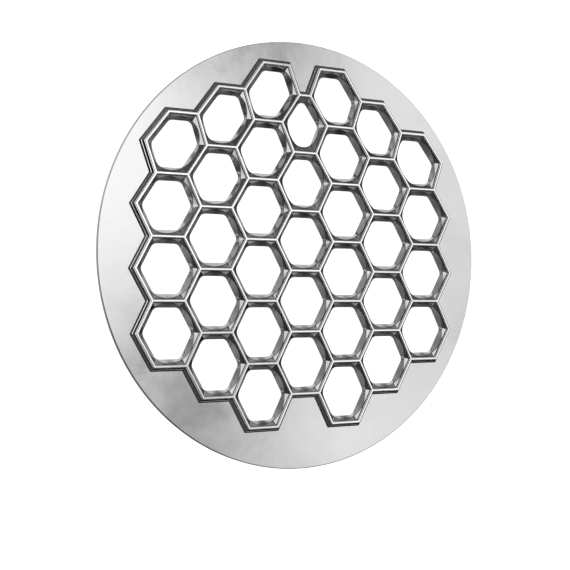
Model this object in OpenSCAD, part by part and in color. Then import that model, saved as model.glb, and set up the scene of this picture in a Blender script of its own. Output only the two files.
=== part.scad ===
// Dumpling mould: a flat round disc with a raised honeycomb of hexagonal cutting cells.
// It lies on its back face. +Z points out of the front, where the cutting ridges stand,
// and +Y points to the top of the comb. The origin is the middle of the back face.

/* [Disc] */
// Diameter of the disc
disc_d = 245; // [235:1:260]
// Thickness of the flange around the comb
flange_t = 3; // [2.5:0.1:4]
// Chamfer on both edges of the rim
rim_chamfer = 0.5; // [0.2:0.1:1]

/* [Comb layout] */
// Height of one cell, from crest to crest
cell_pitch = 34.2; // [31:0.1:34.4]
// How far the comb's middle lies above the disc's middle
comb_rise = 8; // [0:0.5:8]
// Spacing of the columns, where 1 is a regular comb
column_fit = 0.948; // [0.93:0.002:0.97]
// Share by which a row 100 mm above the middle is narrower
top_bow = 0.22; // [0:0.01:0.24]
// Share by which a row 100 mm below the middle is narrower
bottom_bow = 0.04; // [0:0.01:0.1]
// How far the middle column is squeezed in from each side, 100 mm above the middle
middle_squeeze = 6.6; // [0:0.1:7]
// How far from the middle line that squeeze has faded to half
squeeze_reach = 25; // [20:1:40]
// How far a row 100 mm above or below the middle is shifted down
row_shift = 2.6; // [0:0.1:4]

/* [Ridges] */
// Height of the crests above the back face
crest_h = 6.2; // [5.6:0.1:7]
// Width of the flat crest
crest_w = 1.2; // [0.8:0.1:1.6]
// Depth of the steep step beside the crest
step_h = 1; // [0.4:0.1:1.2]
// Distance from the crest line to the foot of the comb's outer wall
foot_reach = 2.8; // [2.2:0.1:3.2]
// Height of the small step at that foot
foot_step = 0.4; // [0.2:0.1:0.8]

/* [Holes] */
// Distance from the crest line to the narrowest part of the hole
waist_inset = 3.8; // [3:0.1:4]
// Height of the narrowest part above the back face
waist_h = 1.8; // [1.2:0.1:2.4]
// Corner radius of the hole there
waist_r = 3.5; // [3:0.1:4.5]
// Distance from the crest line to the hole's edge on the back face
back_inset = 2.5; // [1.8:0.1:2.8]
// Least distance from the crest line to the round mouth of the hole
mouth_inset = 1.2; // [1.1:0.1:2]
// Fall of the ledge between the step and that mouth, per mm towards the hole
ledge_slope = 0.35; // [0.2:0.05:0.45]

/* [Hidden] */
// Number of cells in each column, left to right, seen from the front.
CELLS = [4, 5, 6, 5, 6, 5, 4];
COLUMNS = len(CELLS);
// The step beside a crest leans out by this much, and so does the step at the foot.
step_lean = 0.15;
// Points that round off one corner of a hole, and points on one side of a cell.
arc_points = 3;
side_points = arc_points + 1;
// Angle of the mouth's points to either side of a corner.
mouth_spread = 15;
// The flange's hole is cut this far past both faces.
past = 1;
// Colour of polished cast aluminium.
metal = [0.80, 0.80, 0.79];

function cell_name(c, r) = str("cell_", c + 1, "_", r + 1);

// Moves a point of a regular comb to its place on the disc.
function placed(p) =
    let (
        up = p.y / 100,
        bow = up > 0 ? top_bow : bottom_bow,
        fade = 1 + pow(p.x / squeeze_reach, 2),
        squeeze = middle_squeeze * pow(max(0, up), 2) / fade
    )
    [
        p.x * column_fit * (1 - bow * up * up) - sign(p.x) * squeeze,
        p.y - row_shift * up * up + comb_rise
    ];

// Corner k of the cell in column c and row r. Corner 0 is the right one, and they run anticlockwise.
function corner(c, r, k) =
    let (
        middle = [
            (c - (COLUMNS - 1) / 2) * cell_pitch * cos(30),
            ((CELLS[c] - 1) / 2 - r) * cell_pitch
        ],
        reach = cell_pitch / 2 / cos(30)
    )
    placed(middle + reach * [cos(60 * k), sin(60 * k)]);
function cell_outline(c, r) = [for (k = [0:5]) corner(c, r, k)];

// The outline of the whole comb, anticlockwise from its top right corner.
function comb_outline() =
    let (last = COLUMNS - 1)
    concat(
        [for (c = [last:-1:0], k = [1, 2]) corner(c, 0, k)],
        [for (r = [0:CELLS[0] - 1], k = [3, 4]) if (r < CELLS[0] - 1 || k == 3) corner(0, r, k)],
        [for (c = [0:last], k = [4, 5]) corner(c, CELLS[c] - 1, k)],
        [for (r = [CELLS[last] - 1:-1:0], k = [0, 1]) if (r > 0 || k == 0) corner(last, r, k)]
    );

// Unit vector that points into an anticlockwise outline from its side i.
function inward(outline, i) =
    let (n = len(outline), side = outline[(i + 1) % n] - outline[(i + n) % n])
    [-side.y, side.x] / norm(side);

// The outline with every side moved inwards by d, or outwards where d is negative.
function inset(outline, d) = [
    for (i = [0:len(outline) - 1])
        let (
            before = inward(outline, i - 1 + len(outline)),
            after = inward(outline, i)
        )
        outline[i] + d * (before + after) / (1 + before * after)
];

// The outline with side_points points on each side, the first of them at the corner.
function divided(outline) = [
    for (i = [0:len(outline) - 1], s = [0:side_points - 1])
        let (next = outline[(i + 1) % len(outline)], share = s / side_points)
        outline[i] * (1 - share) + next * share
];

// The outline moved in by d, with corners of radius r. Each corner's arc starts before the corner,
// so its middle point lies at the same place in the list as the corner itself.
function rounded(outline, d, r) =
    let (
        centres = inset(outline, d + r),
        n = len(outline),
        half = (arc_points - 1) / 2
    )
    [
        for (i = [0:n - 1], s = [0:side_points - 1])
            let (
                before = inward(outline, i - 1 + n),
                after = inward(outline, i)
            )
            s <= half
                ? centres[i] - r * between(before, after, 0.5 + s / (arc_points - 1))
                : s == side_points - half
                    ? centres[(i + 1) % n] - r * after
                    : (centres[i] + centres[(i + 1) % n]) / 2 - r * after
    ];

// The unit vector that lies a share of the way round from a to b.
function between(a, b, share) =
    let (turn = atan2(a.x * b.y - a.y * b.x, a * b) * share)
    [a.x * cos(turn) - a.y * sin(turn), a.x * sin(turn) + a.y * cos(turn)];

// The round mouth of a cell's hole: the largest ellipse of the cell's own proportions that keeps
// mouth_inset clear of every crest line.
function mouth(outline) =
    let (
        middle = (outline[0] + outline[3]) / 2,
        across = (outline[0] - outline[3]) / 2,
        along = (outline[1] + outline[2] - outline[4] - outline[5]) / 4 / cos(30),
        size = min([
            for (i = [0:5])
                let (n = inward(outline, i), clear = (middle - outline[i]) * n - mouth_inset)
                clear / norm([across * n, along * n])
        ]),
        turns = [0, mouth_spread, 30, 60 - mouth_spread]
    )
    [
        for (k = [0:5], t = turns)
            middle + size * (across * cos(60 * k + t) + along * sin(60 * k + t))
    ];

// Distance from a point inside a convex outline to its nearest side.
function clearance(outline, p) =
    min([for (i = [0:len(outline) - 1]) (p - outline[i]) * inward(outline, i)]);

function at_height(outline, z) = [for (p = outline) [p.x, p.y, z]];

// The points sunk below the crest by the step and then by the ledge's fall.
function on_ledge(outline, points) = [
    for (p = points)
        let (run = clearance(outline, p) - crest_w / 2 - step_lean)
        [p.x, p.y, crest_h - step_h - ledge_slope * run]
];

// A closed ring whose cross-section runs through the given loops, back face first. The loops have
// the same number of points, and each is joined to the next and the last to the first.
module ring(loops) {
    n = len(loops[0]);
    m = len(loops);
    polyhedron(
        points = [for (loop = loops) each loop],
        faces = [
            for (j = [0:m - 1], i = [0:n - 1])
                let (k = (i + 1) % n, next = (j + 1) % m)
                each [
                    [j * n + i, next * n + k, j * n + k],
                    [j * n + i, next * n + i, next * n + k]
                ]
        ]
    );
}

// One cell of the comb: the half of each wall that belongs to it, from crest line to hole.
module cell(c, r) {
    outline = cell_outline(c, r);
    color(metal)
        ring([
            at_height(divided(outline), 0),
            at_height(divided(outline), crest_h),
            at_height(divided(inset(outline, crest_w / 2)), crest_h),
            at_height(divided(inset(outline, crest_w / 2 + step_lean)), crest_h - step_h),
            on_ledge(outline, mouth(outline)),
            at_height(rounded(outline, waist_inset, waist_r), waist_h),
            at_height(rounded(outline, back_inset, waist_r), 0)
        ]);
}

// The outer half of the ridge around the comb, which stands on the flange.
module comb_border() {
    outline = comb_outline();
    color(metal)
        ring([
            at_height(inset(outline, -foot_reach), flange_t),
            at_height(inset(outline, step_lean - foot_reach), flange_t + foot_step),
            at_height(inset(outline, -crest_w / 2 - step_lean), crest_h - step_h),
            at_height(inset(outline, -crest_w / 2), crest_h),
            at_height(outline, crest_h),
            at_height(outline, flange_t)
        ]);
}

// The flat disc, open where the comb sits.
module flange() {
    color(metal)
        difference() {
            rotate_extrude($fn = 180)
                polygon([
                    [0, 0],
                    [disc_d / 2 - rim_chamfer, 0],
                    [disc_d / 2, rim_chamfer],
                    [disc_d / 2, flange_t - rim_chamfer],
                    [disc_d / 2 - rim_chamfer, flange_t],
                    [0, flange_t]
                ]);
            translate([0, 0, -past])
                linear_extrude(flange_t + 2 * past)
                    polygon(comb_outline());
        }
}

flange();
comb_border();
for (c = [0:COLUMNS - 1], r = [0:CELLS[c] - 1])
    cell(c, r);
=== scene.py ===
"""Round cast aluminium dumpling mould, lying on a pale floor.

Makes the detailed pieces, their materials, the floor, the light and the camera. Sizes are in millimetres.
"""
import math

import bmesh
import bpy
from mathutils import Matrix, Vector


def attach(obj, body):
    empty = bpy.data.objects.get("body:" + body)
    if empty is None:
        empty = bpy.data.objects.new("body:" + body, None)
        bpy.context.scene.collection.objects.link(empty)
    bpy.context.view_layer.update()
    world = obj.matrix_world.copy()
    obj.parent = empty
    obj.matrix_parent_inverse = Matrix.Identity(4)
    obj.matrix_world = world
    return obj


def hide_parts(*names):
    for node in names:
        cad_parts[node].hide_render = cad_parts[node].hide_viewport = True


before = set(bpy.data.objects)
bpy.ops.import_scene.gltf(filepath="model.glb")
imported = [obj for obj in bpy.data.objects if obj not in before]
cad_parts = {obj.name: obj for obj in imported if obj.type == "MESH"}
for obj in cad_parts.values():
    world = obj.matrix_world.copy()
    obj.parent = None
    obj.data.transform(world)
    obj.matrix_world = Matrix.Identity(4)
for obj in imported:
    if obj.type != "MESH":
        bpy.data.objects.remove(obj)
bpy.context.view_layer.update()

MM = 0.001

# ---- sizes, as in the CAD source ----
DISC_R = 122.5
FLANGE_T = 3.0
RIM = 0.5
PITCH = 34.2
COMB_RISE = 8.0
COLUMN_FIT = 0.948
TOP_BOW = 0.22
BOTTOM_BOW = 0.04
MIDDLE_SQUEEZE = 6.6
SQUEEZE_REACH = 25.0
ROW_SHIFT = 2.6
CREST_H = 6.2
CREST_W = 1.2
STEP_H = 1.0
STEP_LEAN = 0.15
FOOT_REACH = 2.8
FOOT_STEP = 0.4
WAIST_INSET = 3.8
WAIST_H = 1.8
WAIST_R = 3.5
BACK_INSET = 2.5
MOUTH_INSET = 1.2
LEDGE_SLOPE = 0.35
CELLS = [4, 5, 6, 5, 6, 5, 4]
COLUMNS = len(CELLS)

# ---- details that the CAD leaves plain ----
CREST_TRIM = 0.1      # the crest's flat part is this much narrower on each side
UPPER_STEP = 0.6      # depth of the upper step beside a crest
LINE_FALL = 0.03      # fall of the narrow flat line below it
CELL_LINE = 0.22      # width of that line inside a cell
BORDER_LINE = 0.32    # width of that line outside the comb
CELL_STEPS = 1.45     # depth of both steps inside a cell
CELL_STEPS_W = 0.45   # width of both steps inside a cell
BORDER_STEPS = 1.3    # depth of both steps outside the comb
BORDER_STEPS_W = 0.5  # width of both steps outside the comb
LEDGE_SINK = 0.45     # the ledge lies this much deeper than in the CAD
SLOPE_LINE = 1.75     # where the outer slope's flat line starts, from the crest line
SLOPE_LINE_W = 0.25   # width of that line
SLOPE_LINE_H = 1.15   # its height above the flange
SLOPE_LINE_FALL = 0.07
BURIED = 0.1          # the border reaches this far into the flange

ARC = 6        # segments round each corner of a loop
STRAIGHT = 6   # segments along each side between two corners
FILLET = 4     # segments across each small fillet of a profile


# ---- the comb's layout ----
def placed(x, y):
    """A point of a regular comb, moved to its place on the disc."""
    up = y / 100
    side = (x > 1e-6) - (x < -1e-6)
    bow = TOP_BOW if up > 0 else BOTTOM_BOW
    squeeze = MIDDLE_SQUEEZE * max(0.0, up) ** 2 / (1 + (x / SQUEEZE_REACH) ** 2)
    return Vector((
        x * COLUMN_FIT * (1 - bow * up * up) - side * squeeze,
        y - ROW_SHIFT * up * up + COMB_RISE,
    ))


def corner(c, r, k):
    """Corner k of the cell in column c and row r, anticlockwise from the right one."""
    reach = PITCH / 2 / math.cos(math.radians(30))
    x = (c - (COLUMNS - 1) / 2) * PITCH * math.cos(math.radians(30))
    y = ((CELLS[c] - 1) / 2 - r) * PITCH
    a = math.radians(60 * k)
    return placed(x + reach * math.cos(a), y + reach * math.sin(a))


def cell_outline(c, r):
    return [corner(c, r, k) for k in range(6)]


def comb_outline():
    """The whole comb's outline, anticlockwise from its top right corner."""
    last = COLUMNS - 1
    points = [corner(c, 0, k) for c in range(last, -1, -1) for k in (1, 2)]
    points += [corner(0, r, k) for r in range(CELLS[0]) for k in (3, 4) if r < CELLS[0] - 1 or k == 3]
    points += [corner(c, CELLS[c] - 1, k) for c in range(COLUMNS) for k in (4, 5)]
    rows = range(CELLS[last] - 1, -1, -1)
    points += [corner(last, r, k) for r in rows for k in (0, 1) if r > 0 or k == 0]
    return points


def inward(outline, i):
    """Unit vector that points into an anticlockwise outline from its side i."""
    n = len(outline)
    side = outline[(i + 1) % n] - outline[i % n]
    return Vector((-side.y, side.x)).normalized()


def inset(outline, d):
    """The outline with every side moved inwards by d, or outwards where d is negative."""
    moved = []
    for i, p in enumerate(outline):
        before, after = inward(outline, i - 1), inward(outline, i)
        moved.append(p + (before + after) * (d / (1 + before.dot(after))))
    return moved


def loop(outline, d, radius=0.0, spread=0.6):
    """The outline moved inwards by d, as points round each corner and along each side.

    A corner has an arc of that radius, or stays sharp, with its points a little way along both sides.
    """
    corners = inset(outline, d)
    n = len(corners)
    arcs = []
    for i, p in enumerate(corners):
        back = (corners[i - 1] - p).normalized()
        ahead = (corners[(i + 1) % n] - p).normalized()
        turn = math.pi - back.angle(ahead)
        arc = []
        if radius > 0:
            reach = radius * math.tan(turn / 2)
            centre = p + (back + ahead).normalized() * (radius / math.cos(turn / 2))
            first = p + back * reach - centre
            sense = 1 if (-back).cross(ahead) > 0 else -1
            for s in range(ARC + 1):
                a = sense * turn * s / ARC
                arc.append(centre + Vector((
                    first.x * math.cos(a) - first.y * math.sin(a),
                    first.x * math.sin(a) + first.y * math.cos(a),
                )))
        else:
            for s in range(ARC + 1):
                t = 2 * s / ARC - 1
                arc.append(p + (back * -t if t < 0 else ahead * t) * spread)
        arcs.append(arc)
    points = []
    for i in range(n):
        points += arcs[i]
        a, b = arcs[i][-1], arcs[(i + 1) % n][0]
        points += [a.lerp(b, s / STRAIGHT) for s in range(1, STRAIGHT)]
    return points


def clearance(outline, p):
    """Distance from a point to the nearest side of a convex outline."""
    return min((p - q).dot(inward(outline, i)) for i, q in enumerate(outline))


def mouth_loop(outline, guide):
    """The round mouth of a hole, sunk below the crest by the ledge.

    Its points are in line with those of the guide loop.
    """
    middle = (outline[0] + outline[3]) / 2
    across = (outline[0] - outline[3]) / 2
    along = (outline[1] + outline[2] - outline[4] - outline[5]) / 4 / math.cos(math.radians(30))
    size = min(
        ((middle - q).dot(n) - MOUTH_INSET) / math.hypot(across.dot(n), along.dot(n))
        for q, n in ((outline[i], inward(outline, i)) for i in range(6))
    )
    to_circle = Matrix(((across.x, along.x), (across.y, along.y))).inverted()
    points = []
    for g in guide:
        ray = g - middle
        p = middle + ray * (size / (to_circle @ ray).length)
        drop = STEP_H + LEDGE_SINK + LEDGE_SLOPE * (clearance(outline, p) - CREST_W / 2 - STEP_LEAN)
        points.append(p.to_3d() + Vector((0, 0, CREST_H - drop)))
    return points


def at(points, z):
    """The points of a flat loop, as 3-D points at height z."""
    return [Vector((p.x, p.y, z)) for p in points]


def filleted(path, radii):
    """A path of 3-D points with each inner point rounded off, and how far along the path each point is.

    radii has one value per point of the path, and 0 keeps the point sharp.
    """
    out, marks = [], []
    for j, (p, r) in enumerate(zip(path, radii)):
        if r <= 0 or j == len(path) - 1:
            out.append(p)
            marks.append(float(j))
            continue
        a, b = path[j - 1] - p, path[j + 1] - p
        r = min(r, 0.45 * a.length, 0.45 * b.length)
        start, end = p + a.normalized() * r, p + b.normalized() * r
        for s in range(FILLET + 1):
            t = s / FILLET
            out.append(start * (1 - t) ** 2 + p * (2 * t * (1 - t)) + end * t * t)
            marks.append(j + (t - 0.5) * 0.5)
    return out, marks


def ring_mesh(name, loops, radii, zones):
    """A closed ring through the given loops, with small fillets, and round to the first loop again.

    zones gives the material number of each strip, from one loop to the next.
    """
    count = len(loops[0])
    made = [filleted([lp[i] for lp in loops], radii) for i in range(count)]
    columns = [points for points, marks in made]
    marks = made[0][1] + [float(len(loops))]
    depth = len(columns[0])
    mesh = bpy.data.meshes.new(name)
    verts = [tuple(p * MM) for col in columns for p in col]
    faces = []
    for i in range(count):
        k = (i + 1) % count
        for j in range(depth):
            m = (j + 1) % depth
            faces.append((i * depth + j, k * depth + j, k * depth + m, i * depth + m))
    mesh.from_pydata(verts, [], faces)
    for f in mesh.polygons:
        j = f.index % depth
        f.material_index = zones[int((marks[j] + marks[j + 1]) / 2)]
    bm = bmesh.new()
    bm.from_mesh(mesh)
    bmesh.ops.recalc_face_normals(bm, faces=bm.faces)
    for f in bm.faces:
        f.smooth = True
    bm.to_mesh(mesh)
    bm.free()
    # The first two loops stay sharp: the next piece starts at the wall between them.
    seam = mesh.attributes.new("sharp_edge", "BOOLEAN", "EDGE")
    for e in mesh.edges:
        a, b = e.vertices
        if a % depth == b % depth and a % depth in (0, 1):
            seam.data[e.index].value = True
    return mesh


def piece(name, mesh, materials, *nodes):
    """An object that takes the place of the given CAD nodes."""
    obj = bpy.data.objects.new(name, mesh)
    bpy.context.scene.collection.objects.link(obj)
    for material in materials:
        mesh.materials.append(material)
    normals = obj.modifiers.new("even_normals", "WEIGHTED_NORMAL")
    normals.keep_sharp = True
    normals.weight = 80
    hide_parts(*nodes)
    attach(obj, "root")


# ---- materials ----
class Nodes:
    """Short names for making and joining shader nodes."""

    def __init__(self, tree):
        self.tree = tree

    def add(self, kind, **settings):
        node = self.tree.nodes.new(kind)
        for key, value in settings.items():
            setattr(node, key, value)
        return node

    def set(self, node, **inputs):
        for key, value in inputs.items():
            node.inputs[key.replace("_", " ")].default_value = value
        return node

    def join(self, a, b):
        self.tree.links.new(a, b)

    def ramp(self, source, stops, ease="LINEAR"):
        """A grey ramp through the given stops, each a place and a brightness."""
        node = self.add("ShaderNodeValToRGB")
        node.color_ramp.interpolation = ease
        while len(node.color_ramp.elements) < len(stops):
            node.color_ramp.elements.new(0.5)
        for element, (place, value) in zip(node.color_ramp.elements, stops):
            element.position = place
            element.color = (value, value, value, 1)
        self.join(source, node.inputs["Fac"])
        return node.outputs["Color"]

    def math(self, operation, a, b=None):
        node = self.add("ShaderNodeMath", operation=operation)
        for socket, value in zip(node.inputs, (a, b)):
            if value is None:
                continue
            if isinstance(value, (int, float)):
                socket.default_value = value
            else:
                self.join(value, socket)
        return node.outputs[0]

    def noise(self, vector, scale, detail=3.0, rough=0.5, distortion=0.0):
        node = self.add("ShaderNodeTexNoise")
        self.set(node, Scale=scale, Detail=detail, Roughness=rough, Distortion=distortion)
        self.join(vector, node.inputs["Vector"])
        return node.outputs["Fac"]

    def stretch(self, vector, x, y, z):
        node = self.add("ShaderNodeMapping")
        node.inputs["Scale"].default_value = (x, y, z)
        self.join(vector, node.inputs["Vector"])
        return node.outputs["Vector"]


def metal(name, rough, tone, lines, swell):
    """Cast metal: ranges of roughness and tone, and the strength of its fine lines and soft waves."""
    mat = bpy.data.materials.new(name)
    mat.use_nodes = True
    n = Nodes(mat.node_tree)
    shader = mat.node_tree.nodes["Principled BSDF"]
    shader.inputs["Metallic"].default_value = 1.0
    place = n.add("ShaderNodeTexCoord").outputs["Object"]
    cloud = n.noise(place, scale=28.0, detail=4.0, rough=0.55, distortion=0.3)
    grain = n.noise(place, scale=900.0, rough=0.6)
    polish = n.noise(n.stretch(place, 1400.0, 90.0, 300.0), scale=1.0, rough=0.6)
    low, high = tone
    n.join(n.ramp(cloud, [(0.30, low), (0.70, high)]), shader.inputs["Base Color"])
    mixed = n.math("ADD", n.math("MULTIPLY", cloud, 0.9), n.math("MULTIPLY", polish, 0.1))
    n.join(n.ramp(mixed, [(0.32, rough[0]), (0.66, rough[1])]), shader.inputs["Roughness"])
    bump = n.add("ShaderNodeBump")
    n.set(bump, Strength=lines, Distance=0.00004)
    n.join(polish, bump.inputs["Height"])
    waves = n.add("ShaderNodeBump")
    n.set(waves, Strength=swell, Distance=0.0004)
    n.join(cloud, waves.inputs["Height"])
    n.join(bump.outputs["Normal"], waves.inputs["Normal"])
    fine = n.add("ShaderNodeBump")
    n.set(fine, Strength=0.05, Distance=0.00003)
    n.join(grain, fine.inputs["Height"])
    n.join(waves.outputs["Normal"], fine.inputs["Normal"])
    n.join(fine.outputs["Normal"], shader.inputs["Normal"])
    return mat


flange_metal = metal("flange_metal", rough=(0.10, 0.20), tone=(0.66, 0.74), lines=0.03, swell=0.3)
# The comb's pieces are lit and shaded copies of the same cast metal. The crest's near-white tone is a
# painted highlight on the crests and their narrow lines.
crest_painted_highlight_metal = metal("crest_painted_highlight_metal", rough=(0.12, 0.22), tone=(0.97, 0.99), lines=0.05, swell=0.1)
# Near-black tone: painted shade, the dark lines of the steps and the foot beside each crest.
step_painted_shade_metal = metal("step_painted_shade_metal", rough=(0.16, 0.28), tone=(0.015, 0.04), lines=0.1, swell=0.1)
# The ledge's and the walls' tones, darker than the flange's, are painted shade.
ledge_painted_shade_metal = metal("ledge_painted_shade_metal", rough=(0.08, 0.16), tone=(0.40, 0.56), lines=0.15, swell=0.12)
wall_painted_shade_metal = metal("wall_painted_shade_metal", rough=(0.10, 0.20), tone=(0.50, 0.66), lines=0.3, swell=0.12)
# Dark tone of the outer slopes: painted shade.
slope_painted_shade_metal = metal("slope_painted_shade_metal", rough=(0.10, 0.20), tone=(0.10, 0.20), lines=0.1, swell=0.12)
# The comb's pieces take these painted highlight and painted shade tones strip by strip.
comb_painted_light_metals = [crest_painted_highlight_metal, step_painted_shade_metal, ledge_painted_shade_metal, wall_painted_shade_metal, slope_painted_shade_metal]
CREST, STEP, LEDGE, WALL, SLOPE = range(len(comb_painted_light_metals))


# ---- the cells ----
def cell_body(name, outline):
    """From the crest line over the crest, down both steps, along the ledge and through the funnel."""
    edge = CREST_W / 2
    waist = loop(outline, WAIST_INSET, WAIST_R)
    fillets = [0, 0, 0.14, 0.1, 0.1, 0.1, 0.35, 0.4, 0.25]
    # The crest and the narrow line take the painted highlight; the steps, ledge and walls take painted
    # shade.
    zones = [WALL, CREST, STEP, CREST, STEP, LEDGE, WALL, WALL, WALL]
    return ring_mesh(name, [
        at(loop(outline, 0), 0),
        at(loop(outline, 0), CREST_H),
        at(loop(outline, edge - CREST_TRIM, 0.3), CREST_H),
        at(loop(outline, edge, 0.3), CREST_H - UPPER_STEP),
        at(loop(outline, edge + CELL_LINE, 0.3), CREST_H - UPPER_STEP - LINE_FALL),
        at(loop(outline, edge + CELL_STEPS_W, 0.4), CREST_H - CELL_STEPS),
        mouth_loop(outline, waist),
        at(waist, WAIST_H),
        at(loop(outline, BACK_INSET, WAIST_R), 0),
    ], fillets, zones)


for c in range(COLUMNS):
    for r in range(CELLS[c]):
        node = f"cell_{c + 1}_{r + 1}"
        piece(node + "_body", cell_body(node + "_body", cell_outline(c, r)), comb_painted_light_metals, node)


# ---- the comb's outer ridge ----
def border_body(name, outline):
    """From the crest line over the crest, down both steps and the outer slope to the flange."""
    edge = -CREST_W / 2
    fillets = [0, 0, 0.14, 0.1, 0.1, 0.1, 0.15, 0.1, 0.15, 0]
    # The crest, the narrow line and the slope's line take the painted highlight; the steps, foot and
    # slopes take painted shade.
    zones = [WALL, CREST, STEP, CREST, STEP, SLOPE, CREST, SLOPE, STEP, WALL]
    return ring_mesh(name, [
        at(loop(outline, 0), FLANGE_T - BURIED),
        at(loop(outline, 0), CREST_H),
        at(loop(outline, edge + CREST_TRIM, 0.3), CREST_H),
        at(loop(outline, edge, 0.3), CREST_H - UPPER_STEP),
        at(loop(outline, edge - BORDER_LINE, 0.3), CREST_H - UPPER_STEP - LINE_FALL),
        at(loop(outline, edge - BORDER_STEPS_W, 0.3), CREST_H - BORDER_STEPS),
        at(loop(outline, -SLOPE_LINE, 0.5), FLANGE_T + SLOPE_LINE_H),
        at(loop(outline, -SLOPE_LINE - SLOPE_LINE_W, 0.5), FLANGE_T + SLOPE_LINE_H - SLOPE_LINE_FALL),
        at(loop(outline, STEP_LEAN - FOOT_REACH, 0.6), FLANGE_T + FOOT_STEP),
        at(loop(outline, -FOOT_REACH, 0.6), FLANGE_T - BURIED),
    ], fillets, zones)


piece("comb_border_body", border_body("comb_border_body", comb_outline()), comb_painted_light_metals, "comb_border")


# ---- the flange ----
def flange_mesh():
    """The disc with a rounded rim, its two faces filled in round the comb's outline."""
    steps = 360
    arc = 6
    profile = []
    for z0, sign in ((0, 1), (FLANGE_T, -1)):
        part = []
        for s in range(arc + 1):
            a = math.radians(90 * s / arc)
            part.append((DISC_R - RIM + RIM * math.sin(a), z0 + sign * RIM * (1 - math.cos(a))))
        profile += part if sign > 0 else part[::-1]
    bm = bmesh.new()
    rings = []
    for s in range(steps):
        a = 2 * math.pi * s / steps
        x, y = math.cos(a) * MM, math.sin(a) * MM
        rings.append([bm.verts.new((r * x, r * y, z * MM)) for r, z in profile])
    for s in range(steps):
        a, b = rings[s], rings[(s + 1) % steps]
        for j in range(len(profile) - 1):
            bm.faces.new((a[j], b[j], b[j + 1], a[j + 1])).smooth = True
    edge_points = comb_outline()
    low = [bm.verts.new((p.x * MM, p.y * MM, 0)) for p in edge_points]
    high = [bm.verts.new((p.x * MM, p.y * MM, FLANGE_T * MM)) for p in edge_points]
    count = len(edge_points)
    for i in range(count):
        k = (i + 1) % count
        bm.faces.new((low[i], high[i], high[k], low[k]))
    for inner, j in ((low, 0), (high, len(profile) - 1)):
        edges = [bm.edges.get((inner[i], inner[(i + 1) % count])) for i in range(count)]
        edges += [bm.edges.get((rings[s][j], rings[(s + 1) % steps][j])) for s in range(steps)]
        bmesh.ops.triangle_fill(bm, use_beauty=True, edges=edges)
    bmesh.ops.recalc_face_normals(bm, faces=bm.faces)
    for f in bm.faces:
        f.smooth = True
    for e in bm.edges:
        if len(e.link_faces) == 2 and e.calc_face_angle() > math.radians(40):
            e.smooth = False
    mesh = bpy.data.meshes.new("flange_body")
    bm.to_mesh(mesh)
    bm.free()
    return mesh


piece("flange_body", flange_mesh(), [flange_metal], "flange")

# ---- the floor ----
FLOOR_REACH = 6000
FLOOR_GAP = 0.05  # between the floor and the disc's back
floor_mesh = bpy.data.meshes.new("floor")
floor_corners = [(-1, -1), (1, -1), (1, 1), (-1, 1)]
floor_mesh.from_pydata(
    [(x * FLOOR_REACH * MM, y * FLOOR_REACH * MM, -FLOOR_GAP * MM) for x, y in floor_corners],
    [], [(0, 1, 2, 3)],
)
floor = bpy.data.objects.new("floor", floor_mesh)
bpy.context.scene.collection.objects.link(floor)
pale = bpy.data.materials.new("pale_floor")
pale.use_nodes = True
pale_shader = pale.node_tree.nodes["Principled BSDF"]
pale_shader.inputs["Base Color"].default_value = (0.85, 0.85, 0.85, 1)
pale_shader.inputs["Roughness"].default_value = 0.9
pale_shader.inputs["Emission Color"].default_value = (1, 1, 1, 1)
pale_shader.inputs["Emission Strength"].default_value = 0.9
floor_mesh.materials.append(pale)
# The metal reflects the room alone, so that its dark walls stay dark.
floor.visible_glossy = False

# ---- the light: a soft room whose brightness depends on the direction ----
world = bpy.data.worlds.new("soft_room")
bpy.context.scene.world = world
world.use_nodes = True
w = Nodes(world.node_tree)
background = world.node_tree.nodes["Background"]
direction = w.add("ShaderNodeTexCoord").outputs["Generated"]
split = w.add("ShaderNodeSeparateXYZ")
w.join(direction, split.inputs[0])
dx, dy, dz = split.outputs


def lobe(x, y, z, width, strength):
    """A soft round patch of light, or of shade where strength is below 0, around one direction."""
    centre = Vector((x, y, z)).normalized()
    dot = w.add("ShaderNodeVectorMath", operation="DOT_PRODUCT")
    w.join(direction, dot.inputs[0])
    dot.inputs[1].default_value = centre
    away = w.math("ARCCOSINE", dot.outputs["Value"])
    scaled = w.math("POWER", w.math("DIVIDE", away, math.radians(width)), 2)
    return w.math("MULTIPLY", w.math("POWER", math.e, w.math("MULTIPLY", scaled, -1)), strength)


def share(axis):
    """A direction's part along an axis, from 0 at -1 to 1 at +1."""
    return w.math("MULTIPLY", w.math("ADD", axis, 1), 0.5)


# A large soft light above, which the flange reflects: its profile along Y, along X and in height.
across = w.ramp(share(dy), [
    (0.36, 0.04), (0.42, 1.0), (0.675, 1.0), (0.73, 0.06),
], "EASE")
along = w.ramp(share(dx), [
    (0.10, 0.30), (0.24, 1.0), (0.44, 1.0), (0.60, 0.90), (0.85, 0.72), (0.95, 0.1),
], "EASE")
up = w.ramp(dz, [(0.0, 0.12), (0.30, 0.40), (0.60, 1.0)], "EASE")
box_light = w.math("MULTIPLY", w.math("MULTIPLY", w.math("MULTIPLY", across, along), up), 1.44)
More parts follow.
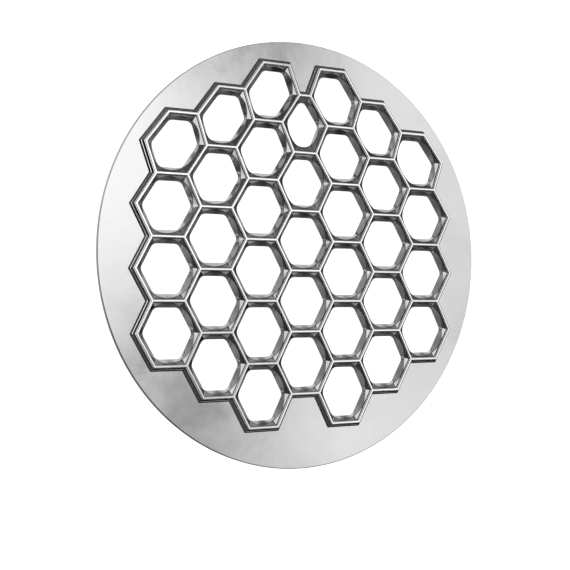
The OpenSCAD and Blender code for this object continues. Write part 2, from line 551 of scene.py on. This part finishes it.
# Light that comes from around and below the horizon, brighter towards +Y.
side = w.ramp(share(dy), [(0.0, 0.12), (0.45, 0.16), (0.65, 0.42), (1.0, 0.95)])
low = w.ramp(share(dz), [(0.30, 1.0), (0.50, 0.9), (0.60, 0.10), (0.75, 0.0)], "EASE")
total = w.math("ADD", box_light, w.math("MULTIPLY", side, low))
for patch in (
    (-0.70, 0.68, 0.22, 18, 0.42),
    (-0.70, -0.68, 0.22, 16, 0.32),
    (0.45, -0.60, 0.66, 8, 0.60),
    (0.45, 0.60, 0.66, 8, 0.50),
    (0.33, 0.14, 0.93, 7, 0.18),
    (0.44, 0.245, 0.867, 3.4, -1.2),
    (0.38, -0.10, 0.92, 6, -0.95),
    (0.62, 0.0, 0.785, 5, -0.22),
    (0.50, -0.13, 0.857, 4, 0.22),
):
    total = w.math("ADD", total, lobe(*patch))
room = w.math("MAXIMUM", total, 0.01)
path = w.add("ShaderNodeLightPath")
seen = w.add("ShaderNodeMix", data_type="RGBA")
w.join(path.outputs["Is Camera Ray"], seen.inputs[0])
w.join(room, seen.inputs[6])
seen.inputs[7].default_value = (1, 1, 1, 1)
# The camera itself sees plain white past the floor's edge.
w.join(seen.outputs[2], background.inputs["Color"])
background.inputs["Strength"].default_value = 1.0

# ---- the camera, at the viewing angle and distance worked out for this disc ----
TURN, TILT, ROLL = 28.43, 1.18, 0.10
DISTANCE, AIM_X, AIM_Y = 598.6, 10.31, 17.34
LENS = 65.66
turned = (
    Matrix.Rotation(math.radians(-TILT), 3, "X")
    @ Matrix.Rotation(math.radians(TURN), 3, "Y")
    @ Matrix.Rotation(math.radians(ROLL), 3, "Z")
)
back = turned.transposed()
eye = back @ (Vector((0, 0, DISTANCE)) - Vector((AIM_X, AIM_Y, 0))) + Vector((0, 0, FLANGE_T))
camera_data = bpy.data.cameras.new("camera")
camera_data.lens = LENS
camera_data.sensor_width = 36
camera_data.clip_start = 0.01
camera = bpy.data.objects.new("camera", camera_data)
camera.matrix_world = Matrix.Translation(eye * MM) @ back.to_4x4()
bpy.context.scene.collection.objects.link(camera)
bpy.context.scene.camera = camera

bpy.context.scene.view_settings.view_transform = "Standard"
